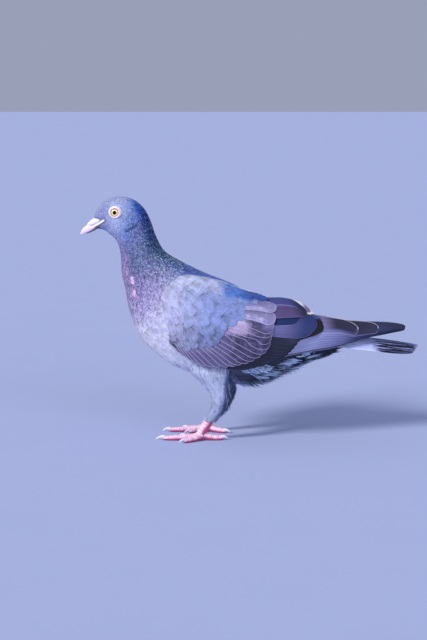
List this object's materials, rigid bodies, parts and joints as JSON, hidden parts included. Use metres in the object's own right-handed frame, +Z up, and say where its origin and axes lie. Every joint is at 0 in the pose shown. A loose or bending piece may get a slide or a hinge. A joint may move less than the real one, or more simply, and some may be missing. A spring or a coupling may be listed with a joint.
{
  "type": "pigeon",
  "caption": "Life-size standing rock pigeon, a still museum model with raised neck, folded wings and both feet flat on the floor.",
  "frame": {"origin": "on the floor, under the middle of the bird's bounding box", "axes": "+Z up, the bird faces -Y and its left side is +X, so +Y runs from the bill to the tail tip"},
  "size_m": [0.0942, 0.3007, 0.215],
  "materials": {
    "plumage": "soft contour feathers, blue-grey with a shimmering neck",
    "flight_feathers": "smooth dark wing and tail feathers with pale edges",
    "bill": "satin horn",
    "claw": "smooth pale horn",
    "cere": "powdery pale bare skin",
    "leg_skin": "scaled pink skin",
    "eye": "wet orange iris with a black pupil"
  },
  "bodies": {
    "root": {"bill_lower": "bill", "bill_upper": "bill", "cere": "cere", "claw_1_inner_left": "claw", "claw_1_inner_right": "claw", "claw_2_middle_left": "claw", "claw_2_middle_right": "claw", "claw_3_outer_left": "claw", "claw_3_outer_right": "claw", "claw_4_hind_left": "claw", "claw_4_hind_right": "claw", "eye_left": "eye", "eye_right": "eye", "head": "plumage", "neck": "plumage", "orbit_left": "cere", "orbit_right": "cere", "primaries_left": "flight_feathers", "primaries_right": "flight_feathers", "shank_left": "leg_skin", "shank_right": "leg_skin", "tail": "flight_feathers", "thigh_left": "plumage", "thigh_right": "plumage", "toe_1_inner_left": "leg_skin", "toe_1_inner_right": "leg_skin", "toe_2_middle_left": "leg_skin", "toe_2_middle_right": "leg_skin", "toe_3_outer_left": "leg_skin", "toe_3_outer_right": "leg_skin", "toe_4_hind_left": "leg_skin", "toe_4_hind_right": "leg_skin", "trunk": "plumage", "wing_left": "plumage", "wing_right": "plumage"}
  },
  "joints": []
}
